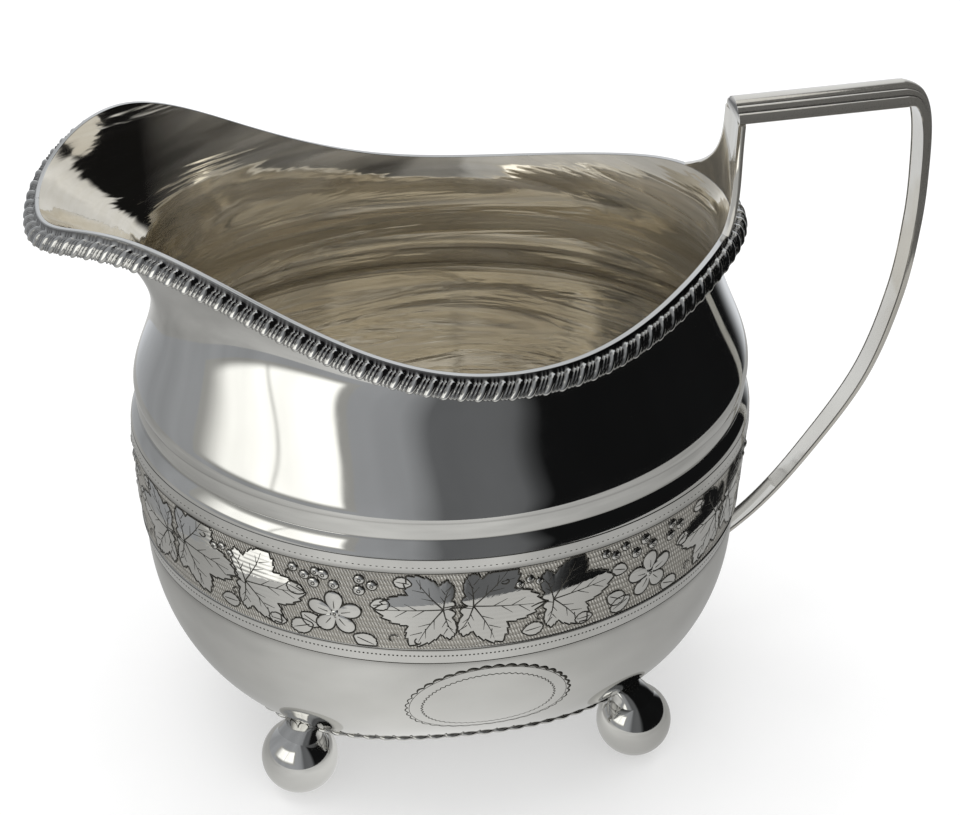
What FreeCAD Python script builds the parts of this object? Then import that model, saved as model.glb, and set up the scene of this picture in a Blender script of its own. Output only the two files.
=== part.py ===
import FreeCAD, Part
import math
import os

# Silver cream jug: raised oblong body on four ball feet, gadrooned rim, angular strap handle.
# Millimetres, +Z up. The lip points along -X and the handle along +X.
# The design is laid out with X measured from the body's centre and moved as a whole at the end.

# Body levels: height, half length, half width.
WALL = 0.7
BASE_HEIGHT, BASE_LENGTH, BASE_WIDTH = 13.1, 38.5, 30.9
CREASE_HEIGHT, CREASE_LENGTH, CREASE_WIDTH = 40.2, 50.6, 41.1
BAND_LOW_HEIGHT, BAND_LOW_LENGTH, BAND_LOW_WIDTH = 43.5, 51.2, 41.7
BAND_TOP_HEIGHT, BAND_TOP_LENGTH, BAND_TOP_WIDTH = 59.3, 51.6, 42.1
TORUS_HEIGHT, TORUS_LENGTH, TORUS_WIDTH = 61.8, 51.4, 41.9
VALLEY_HEIGHT, VALLEY_LENGTH, VALLEY_WIDTH = 64.5, 50.1, 40.6
SHOULDER_HEIGHT, SHOULDER_LENGTH, SHOULDER_WIDTH = 67.7, 50.1, 40.8
RIDGE_RISE, STRIPE_RISE = 0.35, 0.12   # how far the lower and the upper ridge stand out between their edges
BASE_SQUARENESS = 2.45      # 2 is an ellipse, larger is squarer
BOWL_CURVE = 2.2            # how suddenly the bowl turns in towards its base
MIDDLE_DIP = 1.5            # the mouldings hang this much lower at the middle of the long sides

# Neck and lip.
BULGE_SIDE, BULGE_END = 0.4, 2.4   # how far the shoulder swells out, on the long sides and at the two ends
SHOULDER_LIFT = 6.5
RIM_FRAME = [               # control points of one half of the rim, from the handle round to the lip
    (47.6, 0.0, 94.2),
    (43.2, 11.8, 95.7),
    (33.3, 22.6, 92.1),
    (16.7, 33.9, 87.0),
    (-6.8, 35.5, 86.9),
    (-28.4, 29.8, 96.8),
    (-48.2, 23.5, 109.1),
    (-60.2, 12.6, 103.2),
    (-62.1, 0.0, 101.5),
]
FLARE_SIDE = math.radians(38.0)
FLARE_HANDLE = math.radians(28.0)
FLARE_LIP = math.radians(64.0)
FLARE_REACH = 0.45          # length of the flare's pull, as a share of the wall's height there
FLARE_REACH_LIP = 0.88

# Gadroon strip.
STRIP_DEPTH = 3.0
STRIP_SWELL = 2.4
STRIP_PROFILE = [           # front outline from the flat top border down: shares of the swell and the depth
    (0.12, 0.0),
    (0.55, 0.05),
    (0.82, 0.24),
    (0.96, 0.52),
    (1.0, 0.8),
    (0.84, 1.0),
]
STRIP_GAP = 0.02            # the solder film behind the strip

# Base plate and feet.
PLATE_THICKNESS = 0.6
PLATE_OVERHANG = 0.35
BALL_RADIUS = 6.5
BALL_WALL = 0.5
WORN_DEPTH = 0.1
FOOT_X, FOOT_Y = 29.2, 24.9
FOOT_SHIFT = 1.0
PAD_RINGS = [               # saddle above each ball: how far in from the ball's axis, height, radius
    (0.0, 11.2, 4.3),
    (0.6, 12.2, 3.75),
    (1.5, 13.4, 3.5),
    (2.7, 14.5, 3.1),
    (4.2, 15.3, 2.5),
]

# Handle.
TANG_HALF_BASE = 0.40       # half angle of the rim that the tang covers, in radians
TANG_TOP_WIDTH = 7.2
TANG_THICKNESS = 1.2
TANG_TOP_HEIGHT = 109.5
GRIP_START, GRIP_END = 45.2, 72.4
GRIP_WIDTH, GRIP_HEIGHT = 7.4, 3.1
GRIP_RISE = 1.3
REED_WIDTH = 1.0
REED_STEP = 0.8
STRAP_PATH = [              # middle line of the strap, (x, z), from the grip down to the body
    (75.1, 111.0),
    (76.9, 106.6),
    (77.9, 98.5),
    (78.3, 88.0),
    (77.3, 74.3),
    (73.4, 58.6),
    (65.4, 43.6),
    (57.2, 31.9),
]
STRAP_END = (46.6, 21.6)
STRAP_TOP_WIDTH, STRAP_END_WIDTH = 6.6, 3.6
STRAP_TOP_THICKNESS, STRAP_END_THICKNESS = 2.7, 1.8

RING_POINTS = 48
STRIP_STATIONS = 40


def oval(height, half_length, half_width, angle, squareness=2.0, dip=MIDDLE_DIP):
    """A point on one level of the body; angle 0 is the handle end and pi the lip end."""
    along, across = math.cos(angle), math.sin(angle)
    power = 2.0 / squareness
    x = half_length * math.copysign(abs(along) ** power, along)
    y = half_width * math.copysign(abs(across) ** power, across)
    return FreeCAD.Vector(x, y, height - dip * (1.0 - (x / half_length) ** 2))


def bowl_point(share, angle):
    """The plain lower body: share 0 is its base edge and 1 is the crease under the engraved band."""
    turn_in = (1.0 - share) ** BOWL_CURVE
    return oval(
        BASE_HEIGHT + (CREASE_HEIGHT - BASE_HEIGHT) * share,
        CREASE_LENGTH - (CREASE_LENGTH - BASE_LENGTH) * turn_in,
        CREASE_WIDTH - (CREASE_WIDTH - BASE_WIDTH) * turn_in,
        angle,
        2.0 + (BASE_SQUARENESS - 2.0) * (1.0 - share),
        MIDDLE_DIP * share,
    )


def straight_zone(low, high):
    """A stretch of wall that runs straight from one level to the next."""
    def point(share, angle):
        height, length, width = [a + (b - a) * share for a, b in zip(low, high)]
        return oval(height, length, width, angle)
    return point


def ridge_zone(low, high, rise):
    """A rounded ridge between two levels."""
    def point(share, angle):
        height, length, width = [a + (b - a) * share for a, b in zip(low, high)]
        swell = rise * math.sin(math.pi * share)
        return oval(height, length + swell, width + swell, angle)
    return point


def rim_frame_point(index):
    """Control point of the rim, mirrored past both ends so that the curve closes smoothly."""
    last = len(RIM_FRAME) - 1
    mirrored = index < 0 or index > last
    if index < 0:
        index = -index
    elif index > last:
        index = 2 * last - index
    x, y, z = RIM_FRAME[index]
    return FreeCAD.Vector(x, -y if mirrored else y, z)


def rim_point(angle):
    """The rim's edge as a uniform cubic B-spline; angle 0 to pi is the far half."""
    side = 1.0
    if angle > math.pi:
        angle = 2.0 * math.pi - angle
        side = -1.0
    place = angle / math.pi * (len(RIM_FRAME) - 1)
    span = min(int(place), len(RIM_FRAME) - 2)
    t = place - span
    weights = [
        (1 - t) ** 3 / 6,
        (3 * t ** 3 - 6 * t ** 2 + 4) / 6,
        (-3 * t ** 3 + 3 * t ** 2 + 3 * t + 1) / 6,
        t ** 3 / 6,
    ]
    point = FreeCAD.Vector(0, 0, 0)
    for offset, weight in enumerate(weights):
        point += rim_frame_point(span - 1 + offset) * weight
    point.y *= side
    return point


def outward(curve_point, angle):
    """Level outward direction of a closed curve at an angle."""
    step = 0.01
    along = curve_point(angle + step) - curve_point(angle - step)
    level = FreeCAD.Vector(along.y, -along.x, 0)
    return level.normalize()


def wrap(angle):
    return angle % (2.0 * math.pi)


def rim_curve(angle):
    return rim_point(wrap(angle))


def shoulder_curve(angle):
    return oval(SHOULDER_HEIGHT, SHOULDER_LENGTH, SHOULDER_WIDTH, angle)


def neck_point(share, angle):
    """Shoulder, neck and flaring lip in one sweep: share 0 is the shoulder crease and 1 the rim."""
    start = shoulder_curve(angle)
    end = rim_curve(angle)
    height = end.z - start.z
    towards_lip = max(0.0, -math.cos(angle)) ** 2
    towards_handle = max(0.0, math.cos(angle)) ** 2
    flare = FLARE_SIDE + (FLARE_LIP - FLARE_SIDE) * towards_lip + (FLARE_HANDLE - FLARE_SIDE) * towards_handle
    reach = height * (FLARE_REACH + (FLARE_REACH_LIP - FLARE_REACH) * towards_lip)
    spread = outward(rim_curve, angle) * math.sin(flare)
    pull = FreeCAD.Vector(spread.x, spread.y, math.cos(flare))
    bulge = BULGE_SIDE + (BULGE_END - BULGE_SIDE) * math.cos(angle) ** 2
    first = start + outward(shoulder_curve, angle) * bulge + FreeCAD.Vector(0, 0, SHOULDER_LIFT)
    second = end - pull * reach
    rest = 1.0 - share
    return (start * rest ** 3 + first * (3 * rest ** 2 * share)
            + second * (3 * rest * share ** 2) + end * share ** 3)


def wall_normal(zone, share, angle):
    """Outward normal of a zone's surface, level at the zone's creased ends."""
    step = 0.01
    around = zone(share, angle + step) - zone(share, angle - step)
    up = zone(min(1.0, share + step), angle) - zone(max(0.0, share - step), angle)
    return around.cross(up).normalize()


def inner_neck_point(share, angle):
    """Inside face of the neck: one wall thickness in from the outside."""
    level = outward(lambda a: neck_point(share, a), angle)
    true_normal = wall_normal(neck_point, share, angle)
    blend = min(1.0, share / 0.2)
    direction = (level * (1.0 - blend) + true_normal * blend).normalize()
    return neck_point(share, angle) - direction * WALL


def inset(zone):
    """The inside face of a wall zone: one wall thickness in, measured level."""
    def point(share, angle):
        return zone(share, angle) - outward(lambda a: zone(share, a), angle) * WALL
    return point


def closed_ring(zone, share):
    """A closed smooth edge round the body at one level."""
    angles = [2.0 * math.pi * k / RING_POINTS for k in range(RING_POINTS)]
    curve = Part.BSplineCurve()
    curve.interpolate(
        Points=[zone(share, angle) for angle in angles],
        PeriodicFlag=True,
        Parameters=angles + [2.0 * math.pi],
    )
    return Part.Wire([curve.toShape()])


def zone_faces(zone, steps):
    rings = [closed_ring(zone, k / float(steps)) for k in range(steps + 1)]
    return Part.makeLoft(rings, False, steps == 1).Faces


def ring_face(outer_zone, inner_zone, share):
    return Part.makeLoft([closed_ring(outer_zone, share), closed_ring(inner_zone, share)], False, True).Faces


def solid_from(faces):
    shell = Part.makeShell(faces)
    shell.sewShape(0.001)
    solid = Part.makeSolid(shell.Shells[0] if shell.ShapeType != "Shell" else shell)
    if solid.Volume < 0:
        solid.reverse()
    return solid


def body_zones():
    """The body's zones from the base up, each with the number of steps it is lofted in."""
    crease = (CREASE_HEIGHT, CREASE_LENGTH, CREASE_WIDTH)
    band_low = (BAND_LOW_HEIGHT, BAND_LOW_LENGTH, BAND_LOW_WIDTH)
    band_top = (BAND_TOP_HEIGHT, BAND_TOP_LENGTH, BAND_TOP_WIDTH)
    torus = (TORUS_HEIGHT, TORUS_LENGTH, TORUS_WIDTH)
    valley = (VALLEY_HEIGHT, VALLEY_LENGTH, VALLEY_WIDTH)
    shoulder = (SHOULDER_HEIGHT, SHOULDER_LENGTH, SHOULDER_WIDTH)
    return [
        (bowl_point, 6),
        (straight_zone(crease, band_low), 1),
        (straight_zone(band_low, band_top), 1),
        (straight_zone(band_top, torus), 1),
        (ridge_zone(torus, valley, RIDGE_RISE), 4),
        (ridge_zone(valley, shoulder, STRIPE_RISE), 4),
    ]


def body_shell():
    faces = []
    for zone, steps in body_zones():
        faces += zone_faces(zone, steps)
        faces += zone_faces(inset(zone), steps)
    faces += zone_faces(neck_point, 10)
    faces += zone_faces(inner_neck_point, 10)
    faces += ring_face(neck_point, inner_neck_point, 1.0)
    faces += ring_face(bowl_point, inset(bowl_point), 0.0)
    return solid_from(faces)


def base_plate():
    """Flat disc under the body; its edge stands out as a thin rim."""
    def edge(share, angle):
        height = BASE_HEIGHT - PLATE_THICKNESS
        return oval(height, BASE_LENGTH + PLATE_OVERHANG, BASE_WIDTH + PLATE_OVERHANG, angle, BASE_SQUARENESS, 0.0)
    return Part.Face(closed_ring(edge, 0.0)).extrude(FreeCAD.Vector(0, 0, PLATE_THICKNESS))


def below_rim(angle, depth):
    """Point on the outside of the wall a given distance below the rim."""
    top = neck_point(1.0, angle)
    low, high = 0.5, 1.0
    for _ in range(24):
        middle = 0.5 * (low + high)
        if (top - neck_point(middle, angle)).Length > depth:
            low = middle
        else:
            high = middle
    share = 0.5 * (low + high)
    return neck_point(share, angle), wall_normal(neck_point, share, angle)


def strip_section(angle):
    """Back and front outlines of one cross-section of the gadroon strip, both from the rim down."""
    (top, top_out), (middle, middle_out), (foot, foot_out) = [
        below_rim(angle, depth) for depth in (0.0, 0.5 * STRIP_DEPTH, STRIP_DEPTH)]
    back = [top + top_out * STRIP_GAP, middle + middle_out * STRIP_GAP, foot + foot_out * STRIP_GAP]
    out = outward(rim_curve, angle)
    front = [top + out * STRIP_SWELL * reach - FreeCAD.Vector(0, 0, STRIP_DEPTH * drop)
             for reach, drop in STRIP_PROFILE]
    return back, front


def smooth_edge(points):
    curve = Part.BSplineCurve()
    last = float(len(points) - 1)
    curve.interpolate(Points=points, Parameters=[k / last for k in range(len(points))])
    return curve.toShape()


def strip_solid(sections):
    """Solid through a row of sections, each a back outline and a front outline that run the same way."""
    wires = []
    for back, front in sections:
        wires.append(Part.Wire([
            smooth_edge(back),
            Part.makeLine(back[-1], front[-1]),
            smooth_edge(front[::-1]),
            Part.makeLine(front[0], back[0]),
        ]))
    faces = Part.makeLoft(wires, False, False).Faces
    for back, front in (sections[0], sections[-1]):
        faces.append(Part.makeRuledSurface(smooth_edge(back), smooth_edge(front)))
    return solid_from(faces)


def gadroon_border(side):
    """Half of the cast gadroon strip; side 1 is the far half and -1 the near half."""
    angles = [math.pi * k / STRIP_STATIONS for k in range(STRIP_STATIONS + 1)]
    if side < 0:
        angles = [2.0 * math.pi - angle for angle in angles]
    return strip_solid([strip_section(angle) for angle in angles])


def tang_section(climb):
    """One level of the tang: climb 0 is the rim and 1 the corner under the grip."""
    base_middle = inner_neck_point(1.0, 0.0)
    narrow = (1.0 - climb) ** 3
    base_width = 2.0 * inner_neck_point(1.0, TANG_HALF_BASE).y
    width_share = (TANG_TOP_WIDTH + (base_width - TANG_TOP_WIDTH) * narrow) / base_width
    inner_points = []
    outer_points = []
    for step in (-1.0, -0.5, 0.0, 0.5, 1.0):
        base = inner_neck_point(1.0, wrap(step * TANG_HALF_BASE))
        lean = GRIP_START + TANG_THICKNESS * 0.2 - base_middle.x
        x = base_middle.x + (base.x - base_middle.x) * width_share ** 2 + lean * climb ** 1.5
        z = base.z + (TANG_TOP_HEIGHT - base.z) * climb
        inner_points.append(FreeCAD.Vector(x, base.y * width_share, z))
        facing = outward(rim_curve, wrap(step * TANG_HALF_BASE * width_share))
        outer_points.append(inner_points[-1] + facing * TANG_THICKNESS)
    return inner_points, outer_points


def handle_tang():
    """Flared plate that rises from the rim to the grip."""
    return strip_solid([tang_section(climb) for climb in (0.0, 0.1, 0.2, 0.35, 0.5, 0.75, 1.0)])


def reeded_profile(x, bottom):
    """Cross-section of the grip: a broad round in the middle and two narrow reeds on each side."""
    def arc(y_from, z_from, y_to, z_to, height):
        ends = [FreeCAD.Vector(x, y_from, bottom + z_from), FreeCAD.Vector(x, y_to, bottom + z_to)]
        crown = (ends[0] + ends[1]) * 0.5 + FreeCAD.Vector(0, 0, height)
        return Part.Arc(ends[0], crown, ends[1]).toShape()

    half = 0.5 * GRIP_WIDTH
    low = GRIP_HEIGHT - 3.0 * REED_STEP
    steps = [(half, low), (half - REED_WIDTH, low + REED_STEP), (half - 2.0 * REED_WIDTH, low + 2.0 * REED_STEP)]
    edges = []
    for (y_a, z_a), (y_b, z_b) in zip(steps, steps[1:]):
        edges.append(arc(y_a, z_a, y_b, z_b, 0.25))
    y_top, z_top = steps[-1]
    edges.append(arc(y_top, z_top, -y_top, z_top, REED_STEP))
    for (y_b, z_b), (y_a, z_a) in reversed(list(zip(steps, steps[1:]))):
        edges.append(arc(-y_a, z_a, -y_b, z_b, 0.25))
    corners = [FreeCAD.Vector(x, -half, bottom + low), FreeCAD.Vector(x, -half, bottom),
               FreeCAD.Vector(x, half, bottom), FreeCAD.Vector(x, half, bottom + low)]
    for corner, following in zip(corners, corners[1:]):
        edges.append(Part.makeLine(corner, following))
    return Part.Wire(edges)


def handle_grip():
    """Nearly level reeded bar on top of the handle; it rises a little outwards."""
    profile = reeded_profile(GRIP_START, TANG_TOP_HEIGHT)
    reach = FreeCAD.Vector(GRIP_END - GRIP_START, 0, GRIP_RISE)
    return Part.Face(profile).extrude(reach)


def strap_section(middle, direction, width, thickness):
    """Cross-section of the strap: flat on the inside and rounded on the outside."""
    along = FreeCAD.Vector(direction[0], 0, direction[1]).normalize()
    outer = FreeCAD.Vector(-along.z, 0, along.x)
    centre = FreeCAD.Vector(middle[0], 0, middle[1])
    half = FreeCAD.Vector(0, 0.5 * width, 0)
    inner = centre - outer * (0.5 * thickness)
    shoulder = centre + outer * (0.1 * thickness)
    crown = centre + outer * (0.5 * thickness)
    return Part.Wire([
        Part.makeLine(inner - half, inner + half),
        Part.makeLine(inner + half, shoulder + half),
        Part.Arc(shoulder + half, crown, shoulder - half).toShape(),
        Part.makeLine(shoulder - half, inner - half),
    ])


def handle_strap():
    """Rounded knee and the strap that curves down and in to the body, tapering all the way."""
    grip_middle = TANG_TOP_HEIGHT + GRIP_RISE + 0.5 * GRIP_HEIGHT
    path = [(GRIP_END, grip_middle)] + STRAP_PATH + [STRAP_END]
    sections = []
    last = len(path) - 1
    for k, middle in enumerate(path):
        before = path[max(0, k - 1)]
        after = path[min(last, k + 1)]
        direction = (after[0] - before[0], after[1] - before[1])
        if k == 0:
            direction = (1.0, 0.0)
        share = k / float(last)
        width = STRAP_TOP_WIDTH + (STRAP_END_WIDTH - STRAP_TOP_WIDTH) * share
        thickness = STRAP_TOP_THICKNESS + (STRAP_END_THICKNESS - STRAP_TOP_THICKNESS) * share
        sections.append(strap_section(middle, direction, width, thickness))
    strap = Part.makeLoft(sections, True, False)
    return max(strap.cut(filled_bowl()).Solids, key=lambda piece: piece.Volume)


def filled_bowl():
    """The space inside the bowl's outside face, to trim the strap's lower end against it."""
    rings = [closed_ring(bowl_point, k / 6.0) for k in range(7)]
    low = Part.Face(closed_ring(bowl_point, 0.0))
    faces = Part.makeLoft(rings, False, False).Faces + [low]
    top = closed_ring(bowl_point, 1.0).Edges[0]
    faces.append(Part.makeFilledFace([top]))
    return solid_from(faces)


def foot_ball(upper):
    """One stamped half of a hollow ball foot, standing at the origin."""
    middle = BALL_RADIUS - WORN_DEPTH
    ball = Part.makeSphere(BALL_RADIUS, FreeCAD.Vector(0, 0, middle))
    hollow = Part.makeSphere(BALL_RADIUS - BALL_WALL, FreeCAD.Vector(0, 0, middle))
    low, high = (middle, BASE_HEIGHT - PLATE_THICKNESS) if upper else (0.0, middle)
    slab = Part.makeCylinder(2.0 * BALL_RADIUS, high - low, FreeCAD.Vector(0, 0, low))
    return ball.cut(hollow).common(slab).Solids[0]


def foot_pad(place):
    """Spreading saddle from the top of the ball at a place up to the corner of the body."""
    inwards = FreeCAD.Vector(-place.x, -place.y, 0).normalize()
    rings = []
    for shift, height, radius in PAD_RINGS:
        middle = place + inwards * shift + FreeCAD.Vector(0, 0, height)
        rings.append(Part.Wire([Part.makeCircle(radius, middle)]))
    saddle = Part.makeLoft(rings, True, False)
    ball = Part.makeSphere(BALL_RADIUS, place + FreeCAD.Vector(0, 0, BALL_RADIUS - WORN_DEPTH))
    for taken in (ball, base_plate(), filled_bowl()):
        saddle = saddle.cut(taken)
    return max(saddle.Solids, key=lambda piece: piece.Volume)


def feet():
    """Each foot as three pieces: saddle, upper half and lower half."""
    pieces = {}
    corners = [("front_left", -1, -1), ("front_right", 1, -1), ("back_left", -1, 1), ("back_right", 1, 1)]
    for name, x_side, y_side in corners:
        place = FreeCAD.Vector(x_side * FOOT_X + FOOT_SHIFT, y_side * FOOT_Y, 0)
        pieces["foot_pad_" + name] = foot_pad(place)
        for kind, upper in (("foot_ball_upper_", True), ("foot_ball_lower_", False)):
            half_ball = foot_ball(upper)
            half_ball.translate(place)
            pieces[kind + name] = half_ball
    return pieces


def main():
    pieces = {
        "body_shell": body_shell(),
        "base_plate": base_plate(),
        "gadroon_border_left": gadroon_border(-1),
        "gadroon_border_right": gadroon_border(1),
        "handle_tang": handle_tang(),
        "handle_grip": handle_grip(),
        "handle_strap": handle_strap(),
    }
    pieces.update(feet())
    bounds = FreeCAD.BoundBox()
    for shape in pieces.values():
        bounds.add(shape.optimalBoundingBox())
    shift = FreeCAD.Vector(-bounds.Center.x, 0, 0)
    os.makedirs("parts", exist_ok=True)
    for name, shape in pieces.items():
        shape.translate(shift)
        shape.exportStep("parts/%s.step" % name)
        print(name, shape.ShapeType, "valid", shape.isValid(), "volume %.1f" % shape.Volume)
    print("shift %.3f" % shift.x, "size %.2f %.2f %.2f" % (bounds.XLength, bounds.YLength, bounds.ZMax))


main()
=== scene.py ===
import math

import bmesh
import bpy
import numpy as np
from mathutils import Matrix, Vector

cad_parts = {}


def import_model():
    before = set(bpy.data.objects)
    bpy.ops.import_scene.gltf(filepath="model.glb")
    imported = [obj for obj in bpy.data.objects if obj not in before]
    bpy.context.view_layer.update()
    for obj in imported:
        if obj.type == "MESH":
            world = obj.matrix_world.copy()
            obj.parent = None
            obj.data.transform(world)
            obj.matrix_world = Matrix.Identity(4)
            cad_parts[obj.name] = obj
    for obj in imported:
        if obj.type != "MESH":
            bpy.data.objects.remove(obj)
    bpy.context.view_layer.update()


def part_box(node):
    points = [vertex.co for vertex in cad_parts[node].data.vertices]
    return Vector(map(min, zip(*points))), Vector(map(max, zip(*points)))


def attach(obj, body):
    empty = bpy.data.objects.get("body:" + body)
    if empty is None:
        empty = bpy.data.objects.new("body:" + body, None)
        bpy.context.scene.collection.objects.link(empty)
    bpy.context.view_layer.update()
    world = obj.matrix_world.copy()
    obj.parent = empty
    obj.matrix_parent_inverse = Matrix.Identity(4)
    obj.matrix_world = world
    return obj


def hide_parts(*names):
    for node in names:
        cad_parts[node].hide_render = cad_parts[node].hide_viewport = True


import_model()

# Silver cream jug: the looks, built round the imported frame.
# Shapes are worked out in millimetres from the middle of the body, then placed in the frame in metres.
# Angles round the body start at the handle end; pi is the lip end and -pi/2 the middle of the front.

MM = 0.001
TURN = 2.0 * math.pi
FRONT = -0.5 * math.pi
NEAR = 0.01                 # step used to find the direction of a curve or surface
PLATE_LOW, PLATE_HIGH = (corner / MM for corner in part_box("base_plate"))
BODY_X = 0.5 * (PLATE_LOW.x + PLATE_HIGH.x)

# Body levels: height, half length, half width.
WALL = 0.7
BASE = (13.1, 38.5, 30.9)
CREASE = (40.2, 50.6, 41.1)
BAND_LOW = (43.5, 51.2, 41.7)
BAND_TOP = (59.3, 51.6, 42.08)
TORUS = (61.8, 51.4, 41.9)
VALLEY = (64.5, 50.1, 40.6)
SHOULDER = (67.7, 50.1, 40.8)
RIDGE_RISE, STRIPE_RISE = 0.31, 0.12
BASE_SQUARENESS = 2.45
BOWL_CURVE = 2.2
MIDDLE_DIP = 1.5
BULGE_SIDE, BULGE_END = 0.4, 2.4
SHOULDER_LIFT = 6.5
RIM_FRAME = [               # control points of one half of the rim, from the handle round to the lip
    (47.6, 0.0, 94.2),
    (43.2, 11.8, 95.7),
    (33.3, 22.6, 92.1),
    (16.7, 33.9, 87.0),
    (-6.8, 35.5, 86.9),
    (-28.4, 29.8, 96.8),
    (-48.2, 23.5, 109.1),
    (-60.2, 12.6, 103.2),
    (-62.1, 0.0, 101.5),
]
FLARE_SIDE, FLARE_HANDLE, FLARE_LIP = (math.radians(degrees) for degrees in (38.0, 28.0, 64.0))
FLARE_REACH, FLARE_REACH_LIP = 0.45, 0.88
COLUMNS = 400
DULL_FROM, DULL_RUN = -46.0, 16.0   # the inside is bright in the spout and duller from here back

# Base plate.
SCALLOP_PITCH, SCALLOP_COLUMNS, SCALLOP_NICK = 2.8, 14, 0.45
PLATE_ROUND = 0.25
FLOOR_RINGS = (29.5, 24.0, 16.0, 8.0, 3.0)  # rings of the plate's upper face, in from its edge
TOOLED_RING = (8.0, 8.2, 8.5, 8.7)      # edges of a groove in the lower face, in from the plate's edge
GROOVE_DEPTH = 0.12

# Engraving.
BAND_HEIGHT = BAND_TOP[0] - BAND_LOW[0]
BAND_RECESS = 0.30
BAND_MARGIN = 0.45          # keeps the sprays clear of the band's border lines
GROUND_DEPTH, GROUND_THICKNESS = 0.13, 0.12
PLATE_ROOT = 0.08           # how far a raised leaf or petal reaches into the ground
RIB_LIFT, OUTLINE_LIFT, STEM_LIFT, BOWL_CUT_LIFT = -0.038, -GROUND_DEPTH + 0.10, -0.02, 0.012
CUT_ROOT = 0.05
HATCH_PITCH, HATCH_ROW = 0.50, 1.1
FACET_PITCH, FACET_SLOPE, FACET_LINES = 0.9, 0.42, 0.006
SPRAYS = [-22.9, 28.7, 77.0, 125.4, 173.7, 222.0]   # along the wall from the middle of the front
LOBES = [(0.0, 1.0, 0.55), (0.92, 0.86, 0.55), (-0.92, 0.82, 0.55), (1.70, 0.60, 0.42), (-1.70, 0.56, 0.42)]
LEAVES = [(16.7, 8.3, 180.0, 10.6), (21.3, 9.0, -5.0, 11.4), (34.0, 7.7, 10.0, 10.6)]
BERRIES = [                 # along and up from the spray's start, and radius
    (-3.2, 11.7, 0.85), (-1.6, 13.7, 0.85), (0.0, 12.0, 0.8), (4.0, 13.8, 0.8), (3.9, 11.6, 0.85),
    (5.9, 12.8, 0.8), (28.4, 12.2, 0.6), (30.0, 12.9, 0.6), (31.5, 12.2, 0.55), (44.4, 12.9, 0.75),
    (42.6, 13.9, 0.7), (46.2, 14.0, 0.7),
]
SPRIGS = [                  # along, up, direction and length
    (3.4, 2.0, -25.0, 3.4), (-4.2, 2.8, 205.0, 3.4), (6.0, 8.9, 12.0, 2.6), (-5.2, 9.3, 160.0, 2.6),
    (29.6, 2.3, 8.0, 3.0), (44.0, 4.6, -32.0, 3.2), (40.5, 2.2, 180.0, 2.6), (11.5, 13.6, 170.0, 2.4),
]
TENDRILS = [                # along, up, direction and size
    (9.0, 2.2, 40.0, 1.0), (13.0, 1.8, 120.0, 0.8), (32.0, 4.6, 60.0, 0.9), (26.2, 13.4, 200.0, 0.8),
    (-7.2, 12.4, 10.0, 0.9),
]
CARTOUCHE = (1.6, 17.6, 13.0, 9.1)          # middle across and up the bowl, half width, half height
CARTOUCHE_SCALLOPS = 40

# Gadroon strip.
STRIP_DEPTH = 3.0
STRIP_SWELL = 2.385
STRIP_PROFILE = [(0.12, 0.0), (0.55, 0.05), (0.82, 0.24), (0.96, 0.52), (1.0, 0.80), (0.84, 1.0)]
LOBE_PITCH, LOBE_SAMPLES = 2.45, 13
LOBE_SLANT = 0.75           # how far the foot of a lobe trails its head, in lobe pitches
LOBE_DEPTH = 0.75
BORDER_LIFT = 0.06

# Handle.
TANG_HALF_BASE = 0.40
TANG_TOP_WIDTH, TANG_TOP_HEIGHT, TANG_THICKNESS = 7.2, 109.5, 1.2
GRIP_START, GRIP_END = 45.2, 72.4
GRIP_WIDTH, GRIP_HEIGHT, GRIP_RISE = 7.4, 3.1, 1.3
GRIP_MIDDLE = TANG_TOP_HEIGHT + 0.5 * GRIP_HEIGHT - 0.02
REED_WIDTH, REED_STEP, REED_ROUND = 1.0, 0.8, 0.42
GROOVE_COLUMNS = [8, 16, 38, 46]            # points of the bar's section that lie between its reeds
STRAP_PATH = [
    (75.1, 111.0),
    (76.9, 106.6),
    (77.9, 98.5),
    (78.3, 88.0),
    (77.3, 74.3),
    (73.4, 58.6),
    (65.4, 43.6),
    (57.2, 31.9),
    (46.6, 21.6),
]
STRAP_TOP_WIDTH, STRAP_END_WIDTH = 6.6, 3.6
STRAP_TOP_THICKNESS, STRAP_END_THICKNESS = 2.7, 1.8
STRAP_FIT = 0.97            # keeps the strap's outside within the solid's

# Feet.
FEET = ("front_left", "front_right", "back_left", "back_right")
SADDLE_RINGS = [            # how far in from the ball's axis, height, radius
    (0.0, 11.4, 4.0),
    (0.7, 12.3, 3.5),
    (1.7, 13.3, 3.1),
    (3.1, 14.2, 2.6),
    (4.6, 15.0, 2.0),
]

# Studio: distances in millimetres from the middle of the body, shades as strengths of light.
FLOOR_SIZE, FLOOR_GLOW = 4000.0, 0.36
FLOOR_CARD_INNER, FLOOR_CARD_OUTER, FLOOR_CARD_LIFT, FLOOR_CARD_STRETCH = 4.0, 330.0, 0.4, 1.15
ROOM_LEFT, ROOM_FRONT, ROOM_RIGHT, ROOM_BEHIND = 0.42, 0.15, 0.008, 0.80

# Camera.
CAMERA_AZIMUTH, CAMERA_ELEVATION, CAMERA_ROLL = -10.12, 34.97, 1.13
CAMERA_DISTANCE = 300.0
CAMERA_AIM = (4.68, -8.80, 64.15)
CAMERA_LENS = 69.28


# ---- surfaces of the body, as formulas ----

def stack(x, y, z):
    return np.stack(np.broadcast_arrays(x, y, z), axis=-1)


def unit(vectors):
    return vectors / np.linalg.norm(vectors, axis=-1, keepdims=True)


def between(first, last, count):
    return list(np.linspace(first, last, count))


def walked(path):
    """Distance along a path at each of its points."""
    return np.concatenate([[0], np.cumsum(np.linalg.norm(np.diff(path, axis=0), axis=1))])


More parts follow.
